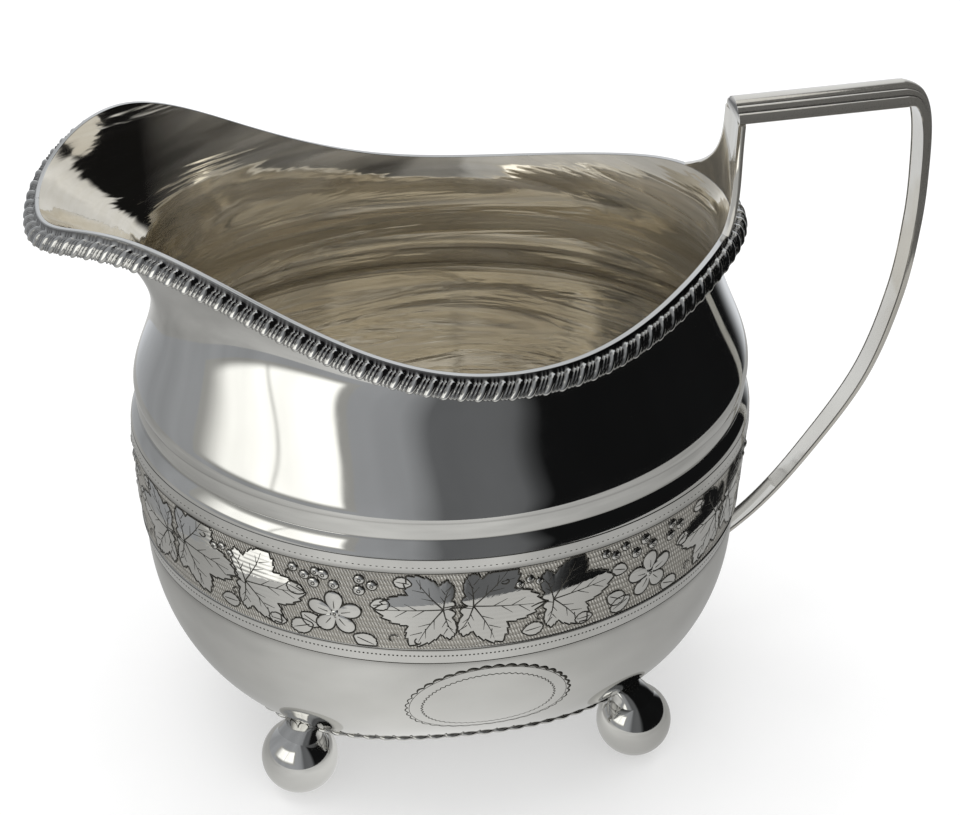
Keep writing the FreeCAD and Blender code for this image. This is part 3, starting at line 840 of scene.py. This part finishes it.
def band_ground():
    """The hatched ground as a closed belt, sunk between the band's border lines."""
    along = np.linspace(-0.5 * GIRTH, 0.5 * GIRTH - 0.001, 420)
    ups = [0.12, 0.18] + between(0.6, BAND_HEIGHT - 0.6, 14) + [BAND_HEIGHT - 0.18, BAND_HEIGHT - 0.12]
    levels = [(up, -GROUND_DEPTH) for up in ups]
    levels += [(up, -GROUND_DEPTH - GROUND_THICKNESS) for up in reversed(ups)]
    points = np.array([band_place(along, up, lift)[0] for up, lift in levels])
    heights = np.array([up for up, _ in levels])[:, None]
    piece_of(make_object("band_ground", points, strip_faces(len(levels), len(along)), GROUND,
                         vectors={"wall_mm": stack(along, heights, 0.0)}, sharp=40))


def small_dots(name, surface, share, pitch, radius, stretch=1.0):
    """A pricked line: small dark dots in a row round the body."""
    angle = np.linspace(-1.5 * math.pi, 0.5 * math.pi, 6001)
    count, angle_at = paced(surface(share, angle), angle, pitch)
    middles = angle_at(np.arange(count) + 0.5)
    points = surface(share, middles)
    normal = wall_normal(surface, share, middles)
    along = unit(surface(share, middles + NEAR) - surface(share, middles - NEAR))
    up = np.cross(normal, along)
    sides = 8
    turn = (np.arange(sides) * TURN / sides)[:, None]
    faces = [tuple(range(sides))] + [(j, (j + 1) % sides, sides) for j in range(sides)]
    patches = Patchwork()
    for k in range(count):
        edge = (points[k] + normal[k] * BOWL_CUT_LIFT + along[k] * (radius * stretch * np.cos(turn))
                + up[k] * (radius * np.sin(turn)))
        patches.add(np.vstack([edge, points[k] - normal[k] * 0.1]), faces)
    patches.finish(name, CUT)


def border_lines():
    """Thin cut lines right round the body, above and below the band."""
    patches = Patchwork()
    for low, high, share, width in ((CREASE, BAND_LOW, 0.04, 0.22), (BAND_LOW, BAND_TOP, 0.004, 0.16),
                                    (BAND_LOW, BAND_TOP, 0.994, 0.16), (BAND_TOP, TORUS, 0.97, 0.12)):
        surface = zone(low, high)
        ribbon(patches, surface(share, ANGLES), wall_normal(surface, share, ANGLES), width, 0.01, True)
    patches.finish("border_lines", CUT)


def base_scallops():
    """Bright-cut scallops hung along the body's lower edge."""
    angle = np.linspace(0.0, TURN, 6001)
    count, angle_at = paced(bowl(0.02, angle), angle, SCALLOP_PITCH)
    across = np.linspace(0.0, 1.0, 13)
    share = 0.105 - 0.075 * np.sqrt(np.maximum(0.0, 1.0 - (2.0 * across - 1.0) ** 2))
    patches = Patchwork()
    for k in range(count):
        turn = angle_at(k + across)
        normals = wall_normal(bowl, share, turn)
        ribbon(patches, bowl(share, turn), normals, taper(13, 0.34, 0.12), BOWL_CUT_LIFT)
    patches.finish("base_scallops", CUT)


def cartouche():
    """Blank oval on the front of the bowl: a scalloped line, heavier at the top, round a wriggled one."""
    patches = Patchwork()
    centre_x, centre_y, half_width, half_height = CARTOUCHE

    def cut(turn, size, widths, lift, closed=False):
        x, y = centre_x + half_width * size * np.cos(turn), centre_y + half_height * size * np.sin(turn)
        ribbon(patches, *bowl_place(x, y), widths, lift, closed)

    across = np.linspace(0.0, 1.0, 11)
    for k in range(CARTOUCHE_SCALLOPS):
        heavy = 0.20 + 0.42 * max(0.0, math.sin(TURN * (k + 0.5) / CARTOUCHE_SCALLOPS + 0.35)) ** 0.7
        cut(TURN * (k + across) / CARTOUCHE_SCALLOPS, 1.0 + 0.035 * np.sin(math.pi * across),
            taper(11, heavy, 0.12), BOWL_CUT_LIFT)
    turn = np.linspace(0.0, TURN, 700, endpoint=False)
    cut(turn, 0.985, 0.10, 0.010, True)
    cut(turn, 0.83 + 0.012 * np.sin(64 * turn), 0.15, 0.010, True)
    patches.finish("cartouche", CUT)


# ---- gadroon strip ----

def smooth_path(points, samples):
    """Catmull-Rom curve through a few points."""
    points = np.array(points, float)
    padded = np.vstack([2 * points[0] - points[1], points, 2 * points[-1] - points[-2]])
    place = np.linspace(0, len(points) - 1, samples)
    span = np.minimum(place.astype(int), len(points) - 2)
    t = (place - span)[:, None]
    a, b, c, d = (padded[span + k] for k in range(4))
    curved = (2 * a - 5 * b + 4 * c - d) * t ** 2 + (3 * b - a - 3 * c + d) * t ** 3
    return 0.5 * (2 * b + (c - a) * t + curved)


def lobes(place):
    """Height of the gadroon relief across one pitch: a broad lobe, then two narrow reeds."""
    place = np.mod(place, 1.0)
    height = np.zeros_like(place)
    for start, end, crest in ((0.0, 0.54, 1.0), (0.54, 0.77, 0.8), (0.77, 1.0, 0.8)):
        across = np.clip((2.0 * place - start - end) / (end - start), -1, 1)
        height = np.maximum(height, crest * np.sqrt(1.0 - across ** 2))
    return height


def gadroon(name, side, node_name):
    """Half of the cast strip round the rim: a flat border, then a row of slanting lobes and reeds."""
    dense = np.linspace(0.0, math.pi, 4000) if side > 0 else TURN - np.linspace(0.0, math.pi, 4000)
    count, angle_at = paced(rim(dense), dense, LOBE_PITCH)
    place = np.linspace(0, count, count * LOBE_SAMPLES + 1)
    angle = angle_at(place)
    top, out = rim(angle), outward(rim, angle)
    lift = np.array([0, 0, BORDER_LIFT])
    inner_edge = inner_neck(1.0, angle)
    border_out = top + out * (STRIP_SWELL * STRIP_PROFILE[0][0])
    border_out[:, 2] = inner_edge[:, 2]
    border = [                  # line, how far out from it and how many lifts up
        (inner_edge, -0.02, -1.5), (inner_edge, -0.03, 0.4), (inner_edge, 0.08, 1.0), (inner_edge, 0.14, 1.0),
        (0.5 * (inner_edge + border_out), 0.0, 1.0), (border_out, -0.13, 1.0), (border_out, -0.08, 1.0),
        (border_out, -0.02, 0.3), (border_out, 0.06, -3.0),
    ]
    rows = [line + out * reach + lift * rise for line, reach, rise in border]
    # darker at the border's outer edge, between the lobes and reeds, and at the strip's foot by the neck:
    # painted shade in these hollows, with tarnish
    tarnish_and_shade = [0.0 * place for _ in border[1:]] + [0.75 + 0.0 * place]
    profile = smooth_path(STRIP_PROFILE, 15)
    core = top + out * (STRIP_SWELL * 0.3) - np.array([0, 0, STRIP_DEPTH * 0.55])
    for k, (reach, drop) in enumerate(profile[1:], 1):
        share = k / (len(profile) - 1.0)
        envelope = top + out * (STRIP_SWELL * reach) - np.array([0, 0, STRIP_DEPTH * drop])
        relief = lobes(side * place + LOBE_SLANT * (share - 0.5))
        ends = min(1.0, (share / 0.10) ** 0.5, ((1.0 - share) / 0.06 + 0.02) ** 0.5)
        depth = LOBE_DEPTH * (1.0 - relief * ends)
        rows.append(envelope + unit(core - envelope) * depth[:, None])
        tarnish_and_shade.append(np.clip((1.0 - relief) * 1.15, 0.0, 0.85))
    rows += [neck(0.93, angle) + out * 0.02, top + out * 0.05 - lift]
    tarnish_and_shade += [0.6 + 0.0 * place, 0.0 * place]
    faces = strip_faces(len(rows), len(angle))
    piece_of(make_object(name, rows, faces, SILVER, {"tarnish_and_shade": np.array(tarnish_and_shade)}), node_name)


# ---- handle ----

def bead(start, end, side):
    """Half-round edge from one face of a plate to the other, bulging sideways."""
    turn = np.linspace(0.0, math.pi, 9)[1:-1, None]
    middle, half = 0.5 * (start + end), 0.5 * (start - end)
    reach = np.linalg.norm(half)
    return middle + half * np.cos(turn) + np.array([0.0, side * reach, 0.0]) * np.sin(turn)


def tang():
    """Flared plate that rises from the rim to the grip."""
    across = np.linspace(-1.0, 1.0, 25)
    base = inner_neck(1.0, across * TANG_HALF_BASE)
    middle_x, base_width = base[12, 0], 2.0 * base[-1, 1]
    lean = GRIP_START + TANG_THICKNESS * 0.2 - middle_x
    loops = []
    for climb in np.linspace(0.0, 1.0, 29):
        share = (TANG_TOP_WIDTH + (base_width - TANG_TOP_WIDTH) * (1.0 - climb) ** 3) / base_width
        x = middle_x + (base[:, 0] - middle_x) * share ** 2 + lean * climb ** 1.5
        z = base[:, 2] + (TANG_TOP_HEIGHT - base[:, 2]) * climb
        front = stack(x, base[:, 1] * share, z)
        back = (front + outward(rim, across * TANG_HALF_BASE * share) * TANG_THICKNESS)[::-1]
        loops.append(np.vstack([front, bead(front[-1], back[0], 1.0), back, bead(back[-1], front[0], -1.0)]))
    piece_of(make_object("tang", loops, tube_faces(len(loops), len(loops[0])), SATIN_LIGHTENED_SILVER, sharp=50), "handle_tang")


def arc_points(start, end, height, count):
    """Shallow arc between two profile points, without its last point."""
    start, end = np.array(start, float), np.array(end, float)
    share = np.linspace(0.0, 1.0, count, endpoint=False)
    points = start + (end - start) * share[:, None]
    points[:, 1] += height * 4.0 * share * (1.0 - share)
    return points


def bar_section(width, thickness):
    """Section of the handle bar: a broad round between pairs of reeds outside, flat between beads inside."""
    half = 0.5 * width
    reed, step = REED_WIDTH * width / GRIP_WIDTH, REED_STEP * thickness / GRIP_HEIGHT
    low = thickness - 3.0 * step
    steps = [(half - k * reed, low + k * step) for k in range(3)]
    steps += [(-y, z) for y, z in reversed(steps)]
    reed_arc, broad_arc = (REED_ROUND * step, 8), (step, 22)
    arcs = (reed_arc, reed_arc, broad_arc, reed_arc, reed_arc)
    outline = [arc_points(steps[k], steps[k + 1], *arc) for k, arc in enumerate(arcs)]
    bead_in, sunk = 0.12 * half, 0.05 * thickness
    inside = [(-half, low), (-half, 0.16), (-half + 0.16, 0.0), (-half + bead_in, 0.0)]
    inside.append((-half + bead_in + 0.12, sunk))
    outline.append(np.array(inside + [(-y, z) for y, z in reversed(inside)][:-1]))
    return np.vstack(outline) - np.array([0.0, 0.5 * thickness])


def sweep_bar(name, path, widths, thicknesses, start=None):
    """Sweeps the bar's section along a path in the upright middle plane; start is its first direction."""
    along = unit(np.gradient(path, axis=0))
    if start:
        along[0] = unit(np.array(start))
    outer = np.stack([-along[:, 1], along[:, 0]], axis=-1)
    loops = []
    for place, out, width, thickness in zip(path, outer, widths, thicknesses):
        across, rise = bar_section(width, thickness).T
        loops.append(stack(place[0] + out[0] * rise, across, place[1] + out[1] * rise))
    columns = len(loops[0])
    tarnish_and_shade = np.zeros((len(path), columns))
    # the lines between the reeds are darkened: painted shade of the grooves, with tarnish
    tarnish_and_shade[:, GROOVE_COLUMNS] = 0.95
    piece_of(make_object(name, loops, tube_faces(len(path), columns), SATIN_LIGHTENED_SILVER, {"tarnish_and_shade": tarnish_and_shade}, sharp=38),
             "handle_" + name)


def grip():
    """Nearly level bar on top of the handle."""
    share = np.linspace(0.0, 1.0, 16)
    path = np.stack([GRIP_START + (GRIP_END - GRIP_START) * share, GRIP_MIDDLE + GRIP_RISE * share], axis=-1)
    sweep_bar("grip", path, np.full(16, GRIP_WIDTH), np.full(16, GRIP_HEIGHT))


def strap():
    """Rounded knee and tapering strap, carrying the grip's reeds down to the body."""
    knee = np.array([GRIP_END, GRIP_MIDDLE + GRIP_RISE])
    path = smooth_path([knee - np.array([2.4, 0.1]), knee] + STRAP_PATH, 190)
    path = path[int(np.argmax(path[:, 0] > GRIP_END)):]
    path[0] = knee
    share = np.linspace(0.0, 1.0, len(path))
    swift = np.minimum(1.0, share / 0.08)
    top_width = GRIP_WIDTH + (STRAP_TOP_WIDTH - GRIP_WIDTH) * swift
    top_thickness = GRIP_HEIGHT + (STRAP_TOP_THICKNESS - GRIP_HEIGHT) * swift
    widths = top_width + (STRAP_END_WIDTH - STRAP_TOP_WIDTH) * share
    thicknesses = (top_thickness + (STRAP_END_THICKNESS - STRAP_TOP_THICKNESS) * share) * STRAP_FIT
    sweep_bar("strap", path, widths, thicknesses, [GRIP_END - GRIP_START, GRIP_RISE])


# ---- feet ----

def ball(name, x, y, z, radius):
    tilt = np.linspace(0.02, math.pi - 0.18, 48)[:, None]
    turn = np.arange(72) * TURN / 72
    points = stack(x + radius * np.sin(tilt) * np.cos(turn), y + radius * np.sin(tilt) * np.sin(turn),
                   z + radius * np.cos(tilt))
    piece_of(make_object("ball_" + name, points, tube_faces(48, 72), SILVER, sharp=60),
             "foot_ball_lower_" + name, "foot_ball_upper_" + name)


def saddle(name, x, y):
    """Spreading saddle from the top of the ball up to the corner of the body."""
    inwards = -unit(np.array([x, y]))
    turn = np.arange(56) * TURN / 56
    points = np.array([stack(x + inwards[0] * shift + radius * np.cos(turn),
                             y + inwards[1] * shift + radius * np.sin(turn), height)
                       for shift, height, radius in smooth_path(SADDLE_RINGS, 24)])
    # the whole saddle is set a little darker and rougher than the ball
    tarnish_and_shade = {"tarnish_and_shade": np.full(24 * 56, 0.12)}
    piece = make_object("saddle_" + name, points, tube_faces(24, 56), SILVER, tarnish_and_shade, sharp=50)
    piece_of(piece, "foot_pad_" + name)


def feet():
    for name in FEET:
        low, high = (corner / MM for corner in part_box("foot_ball_lower_" + name))
        x, y = 0.5 * (low.x + high.x) - BODY_X, 0.5 * (low.y + high.y)
        ball(name, x, y, high.z, 0.5 * (high.x - low.x))
        saddle(name, x, y)


# ---- studio ----

def lightness(name, colour):
    """Light read from the card's own shade attribute, mottled a little as plaster and cloth are."""
    material = bpy.data.materials.new(name)
    material.use_nodes = True
    tree = material.node_tree
    tree.nodes.clear()
    cloth = noise(tree, object_place(tree), 14.0, 3.0, 0.5, (1.0, 1.0, 0.15))
    strength = times(tree, attribute(tree, "shade"), spread(tree, cloth, 0.3, 0.7, 0.86, 1.14))
    glow = node(tree, "ShaderNodeEmission", Color=colour, Strength=strength)
    node(tree, "ShaderNodeOutputMaterial", Surface=glow.outputs[0])
    return material


def card(name, points, shade, colour):
    """A sheet of light that only the polish sees."""
    rows, columns = points.shape[:2]
    piece = make_object(name, points, grid_faces(rows, columns), lightness(name, colour),
                        {"shade": np.broadcast_to(shade, (rows, columns))})
    piece.visible_camera = False
    piece.visible_diffuse = False
    piece.visible_shadow = False


def upright_card(name, azimuths, heights, front, side, shade_at, colour):
    """Curved card round the jug, front and side away from it. Azimuth 0 is the front, 90 the handle end."""
    azimuth = np.linspace(*azimuths, 121)
    height = np.linspace(*heights, 30)[:, None]
    turn = np.radians(azimuth)
    card(name, stack(side * np.sin(turn), -front * np.cos(turn), height), shade_at(azimuth, height), colour)


def floor_card():
    """The table as the polish sees it: bright straight in front, mid grey round the sides, lighter behind."""
    azimuth = np.linspace(-180.0, 180.0, 181)
    reach = np.geomspace(FLOOR_CARD_INNER, FLOOR_CARD_OUTER, 16)[:, None]
    turn = np.radians(azimuth)
    points = stack(FLOOR_CARD_STRETCH * reach * np.sin(turn), -reach * np.cos(turn), FLOOR_CARD_LIFT)
    front = np.exp(-((azimuth + 16.0) / 50.0) ** 2)
    behind = soft_step(np.abs(azimuth), 130.0, 165.0)
    card("card_floor", points, 0.40 + 0.38 * front + 0.25 * behind, (1.0, 1.0, 0.985, 1.0))


def soft_step(value, start, end):
    share = np.clip((value - start) / (end - start), 0.0, 1.0)
    return share * share * (3.0 - 2.0 * share)


def room_shade(azimuth, _):
    """Mid grey to the left, a darker stretch in front, black to the right, light behind."""
    shade = ROOM_LEFT + (ROOM_FRONT - ROOM_LEFT) * soft_step(azimuth, -8.0, -4.0)
    shade = shade + (ROOM_RIGHT - ROOM_FRONT) * soft_step(azimuth, 11.0, 18.0)
    shade = shade + (ROOM_BEHIND - ROOM_RIGHT) * soft_step(azimuth, 118.0, 140.0)
    return shade + 0.40 * soft_step(-azimuth, 135.0, 165.0)


def window_shade(azimuth, height):
    """Daylight through a thin curtain, fading at its edges, with one upright bar."""
    across = soft_step(azimuth, -78.0, -58.0) * (1.0 - soft_step(azimuth, -23.5, -22.0))
    up = soft_step(height, 34.0, 52.0) * (1.0 - soft_step(height, 128.0, 150.0))
    bar = 1.0 - 0.55 * np.exp(-((azimuth + 44.0 - 0.04 * height) / 0.8) ** 2)
    return ROOM_LEFT + 1.25 * across * up * bar


def floor():
    material, tree, inputs = polish("pale_floor", Metallic=0.0, Roughness=0.9, Emission_Strength=FLOOR_GLOW,
                                    Emission_Color=(1.0, 1.0, 1.0, 1.0))
    paper = noise(tree, object_place(tree), 60.0, 4.0)
    feed(tree, inputs["Base Color"], mix_colour(tree, paper, (0.63, 0.63, 0.63), (0.67, 0.67, 0.67)))
    corners = np.array([(-1, -1, 0), (1, -1, 0), (1, 1, 0), (-1, 1, 0)]) * FLOOR_SIZE
    make_object("floor", corners, [(0, 1, 2, 3)], material)


def world():
    """White all round, and light grey where the polish looks past the cards."""
    surroundings = bpy.data.worlds.new("studio")
    bpy.context.scene.world = surroundings
    surroundings.use_nodes = True
    tree = surroundings.node_tree
    tree.nodes.clear()
    path = tree.nodes.new("ShaderNodeLightPath")
    grey = node(tree, "ShaderNodeBackground", Color=(0.70, 0.70, 0.69, 1), Strength=1.0)
    white = node(tree, "ShaderNodeBackground", Color=(1.0, 1.0, 1.0, 1), Strength=0.95)
    mix = tree.nodes.new("ShaderNodeMixShader")
    for socket, source in zip(mix.inputs, (path.outputs["Is Glossy Ray"], white.outputs[0], grey.outputs[0])):
        feed(tree, socket, source)
    node(tree, "ShaderNodeOutputWorld", Surface=mix.outputs[0])


def lamp():
    light = bpy.data.lights.new("soft_top", "AREA")
    light.shape = "DISK"
    light.size = 0.8
    light.energy = 2.5
    holder = add_object("soft_top", light)
    holder.location = (-0.15, 0.12, 0.9)
    holder.visible_glossy = False
    holder.rotation_euler = (Vector((0, 0, 0.05)) - holder.location).to_track_quat("-Z", "Y").to_euler()


def camera():
    azimuth, elevation, roll = map(math.radians, (CAMERA_AZIMUTH, CAMERA_ELEVATION, CAMERA_ROLL))
    level = math.cos(elevation)
    back = Vector((math.sin(azimuth) * level, -math.cos(azimuth) * level, math.sin(elevation)))
    right = Vector((math.cos(azimuth), math.sin(azimuth), 0.0))
    up = back.cross(right)
    rolled_right = right * math.cos(roll) + up * math.sin(roll)
    rolled_up = up * math.cos(roll) - right * math.sin(roll)
    data = bpy.data.cameras.new("camera")
    data.sensor_width = 36.0
    data.lens = CAMERA_LENS
    data.clip_start, data.clip_end = 0.01, 20.0
    holder = add_object("camera", data)
    place = (Vector(CAMERA_AIM) + Vector((BODY_X, 0, 0)) + back * CAMERA_DISTANCE) * MM
    turn = Matrix((rolled_right, rolled_up, back)).transposed().to_4x4()
    holder.matrix_world = Matrix.Translation(place) @ turn
    bpy.context.scene.camera = holder


body()
band_ground()
engraved_band()
border_lines()
small_dots("pricked_line", zone(CREASE, BAND_LOW), 0.60, 0.66, 0.17)
small_dots("upper_dashes", zone(BAND_TOP, TORUS), 0.40, 0.90, 0.07, 2.6)
base_scallops()
cartouche()
base_disc()
gadroon("gadroon_near", -1, "gadroon_border_left")
gadroon("gadroon_far", 1, "gadroon_border_right")
tang()
grip()
strap()
feet()
floor()
upright_card("card_room", (-180, 180), (3, 620), 150, 210, room_shade, (0.96, 0.99, 1.04, 1.0))
upright_card("card_window", (-80, -20), (30, 155), 148, 207, window_shade, (1.0, 1.0, 0.97, 1.0))
floor_card()
world()
lamp()
bpy.context.scene.view_settings.view_transform = "Standard"
camera()
